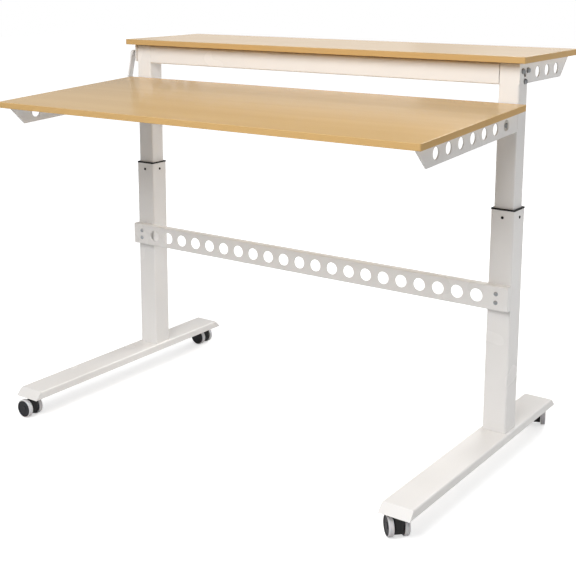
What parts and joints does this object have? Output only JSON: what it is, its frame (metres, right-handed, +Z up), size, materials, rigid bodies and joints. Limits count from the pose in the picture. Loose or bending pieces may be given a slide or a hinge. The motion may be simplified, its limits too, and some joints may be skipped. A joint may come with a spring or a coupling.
{
  "type": "hand-crank standing desk",
  "caption": "Free-standing sit-stand desk on casters with a tilted desktop, a raised rear shelf, telescopic columns, a perforated rail and a side hand crank.",
  "frame": {"origin": "on the floor, in the middle of the whole desk's outline seen from above, crank grip included", "axes": "+X to the user's right along the desk's width, +Y away from the user, +Z up"},
  "size_m": [1.329, 0.8263, 0.995],
  "materials": {
    "powder_coat": "smooth cream powder coat on folded sheet and square tube",
    "beech_laminate": "satin beech-grain laminate with a slightly darker edge band",
    "black_plastic": "moulded black plastic",
    "grey_tread": "soft light grey tread",
    "zinc_plate": "bright zinc plate",
    "machined_steel": "turned and oiled steel",
    "bronze": "machined bearing bronze",
    "white_nylon": "natural moulded nylon"
  },
  "bodies": {
    "base": {"left_foot": "powder_coat", "right_foot": "powder_coat", "left_outer_tube": "powder_coat", "right_outer_tube": "powder_coat", "left_collar": "black_plastic", "right_collar": "black_plastic", "collar_plugs": "black_plastic", "cross_rail": "powder_coat", "rail_bolts": "zinc_plate", "left_nut_post": "machined_steel", "right_nut_post": "machined_steel", "left_lift_nut": "bronze", "right_lift_nut": "bronze", "caster_stems": "zinc_plate"},
    "lift": {"left_inner_tube": "powder_coat", "right_inner_tube": "powder_coat", "left_lower_glide": "white_nylon", "right_lower_glide": "white_nylon", "upper_beam": "powder_coat", "left_desk_bracket": "powder_coat", "right_desk_bracket": "powder_coat", "left_shelf_bracket": "powder_coat", "right_shelf_bracket": "powder_coat", "desktop": "beech_laminate", "shelf": "beech_laminate", "bracket_bolts": "zinc_plate", "board_screws": "zinc_plate", "left_gear_housing": "machined_steel", "right_gear_housing": "machined_steel"},
    "crank_drive": {"cross_shaft": "zinc_plate", "shaft_bushes": "white_nylon", "left_drive_gear": "machined_steel", "right_drive_gear": "machined_steel", "crank_arm": "powder_coat", "crank_bolts": "zinc_plate"},
    "grip": {"crank_grip": "black_plastic"},
    "left_screw": {"left_lead_screw": "machined_steel", "left_screw_gear": "machined_steel"},
    "right_screw": {"right_lead_screw": "machined_steel", "right_screw_gear": "machined_steel"},
    "front_left_caster": {"front_left_caster_hood": "black_plastic"},
    "front_left_inner_roller": {"front_left_inner_wheel": "black_plastic", "front_left_inner_tyre": "grey_tread"},
    "front_left_outer_roller": {"front_left_outer_wheel": "black_plastic", "front_left_outer_tyre": "grey_tread"},
    "front_right_caster": {"front_right_caster_hood": "black_plastic"},
    "front_right_inner_roller": {"front_right_inner_wheel": "black_plastic", "front_right_inner_tyre": "grey_tread"},
    "front_right_outer_roller": {"front_right_outer_wheel": "black_plastic", "front_right_outer_tyre": "grey_tread"},
    "rear_left_caster": {"rear_left_caster_hood": "black_plastic"},
    "rear_left_inner_roller": {"rear_left_inner_wheel": "black_plastic", "rear_left_inner_tyre": "grey_tread"},
    "rear_left_outer_roller": {"rear_left_outer_wheel": "black_plastic", "rear_left_outer_tyre": "grey_tread"},
    "rear_right_caster": {"rear_right_caster_hood": "black_plastic"},
    "rear_right_inner_roller": {"rear_right_inner_wheel": "black_plastic", "rear_right_inner_tyre": "grey_tread"},
    "rear_right_outer_roller": {"rear_right_outer_wheel": "black_plastic", "rear_right_outer_tyre": "grey_tread"}
  },
  "joints": [
    {"name": "lift_slide", "type": "slide", "parent": "base", "child": "lift", "axis": [0, 0, 1], "range_m": [-0.162, 0.252]},
    {"name": "crank_turn", "type": "hinge", "parent": "lift", "child": "crank_drive", "pos_m": [-0.569, 0.12365, 0.952], "axis": [1, 0, 0], "range_deg": [-9720, 15120]},
    {"name": "grip_spin", "type": "hinge", "parent": "crank_drive", "child": "grip", "pos_m": [-0.619, 0.08373, 0.7919], "axis": [1, 0, 0], "continuous": true},
    {"name": "left_screw_turn", "type": "hinge", "parent": "lift", "child": "left_screw", "pos_m": [-0.508, 0.12365, 0.952], "axis": [0, 0, 1], "range_deg": [-9720, 15120]},
    {"name": "right_screw_turn", "type": "hinge", "parent": "lift", "child": "right_screw", "pos_m": [0.617, 0.12365, 0.952], "axis": [0, 0, 1], "range_deg": [-9720, 15120]},
    {"name": "front_left_swivel", "type": "hinge", "parent": "base", "child": "front_left_caster", "pos_m": [-0.508, -0.37535, 0.04], "axis": [0, 0, 1], "continuous": true},
    {"name": "front_left_inner_roll", "type": "hinge", "parent": "front_left_caster", "child": "front_left_inner_roller", "pos_m": [-0.524, -0.37535, 0.025], "axis": [0, -1, 0], "continuous": true},
    {"name": "front_left_outer_roll", "type": "hinge", "parent": "front_left_caster", "child": "front_left_outer_roller", "pos_m": [-0.524, -0.37535, 0.025], "axis": [0, -1, 0], "continuous": true},
    {"name": "front_right_swivel", "type": "hinge", "parent": "base", "child": "front_right_caster", "pos_m": [0.617, -0.37535, 0.04], "axis": [0, 0, 1], "continuous": true},
    {"name": "front_right_inner_roll", "type": "hinge", "parent": "front_right_caster", "child": "front_right_inner_roller", "pos_m": [0.60549, -0.36424, 0.025], "axis": [-0.6947, -0.7193, 0], "continuous": true},
    {"name": "front_right_outer_roll", "type": "hinge", "parent": "front_right_caster", "child": "front_right_outer_roller", "pos_m": [0.60549, -0.36424, 0.025], "axis": [-0.6947, -0.7193, 0], "continuous": true},
    {"name": "rear_left_swivel", "type": "hinge", "parent": "base", "child": "rear_left_caster", "pos_m": [-0.508, 0.36665, 0.04], "axis": [0, 0, 1], "continuous": true},
    {"name": "rear_left_inner_roll", "type": "hinge", "parent": "rear_left_caster", "child": "rear_left_inner_roller", "pos_m": [-0.524, 0.36665, 0.025], "axis": [0, -1, 0], "continuous": true},
    {"name": "rear_left_outer_roll", "type": "hinge", "parent": "rear_left_caster", "child": "rear_left_outer_roller", "pos_m": [-0.524, 0.36665, 0.025], "axis": [0, -1, 0], "continuous": true},
    {"name": "rear_right_swivel", "type": "hinge", "parent": "base", "child": "rear_right_caster", "pos_m": [0.617, 0.36665, 0.04], "axis": [0, 0, 1], "continuous": true},
    {"name": "rear_right_inner_roll", "type": "hinge", "parent": "rear_right_caster", "child": "rear_right_inner_roller", "pos_m": [0.61101, 0.38148, 0.025], "axis": [-0.9272, -0.3746, 0], "continuous": true},
    {"name": "rear_right_outer_roll", "type": "hinge", "parent": "rear_right_caster", "child": "rear_right_outer_roller", "pos_m": [0.61101, 0.38148, 0.025], "axis": [-0.9272, -0.3746, 0], "continuous": true}
  ],
  "couplings": [
    {"joint": "lift_slide", "follows": "crank_turn", "m_per_rad": 0.00095493},
    {"joint": "left_screw_turn", "follows": "crank_turn", "ratio": 1},
    {"joint": "right_screw_turn", "follows": "crank_turn", "ratio": 1}
  ]
}
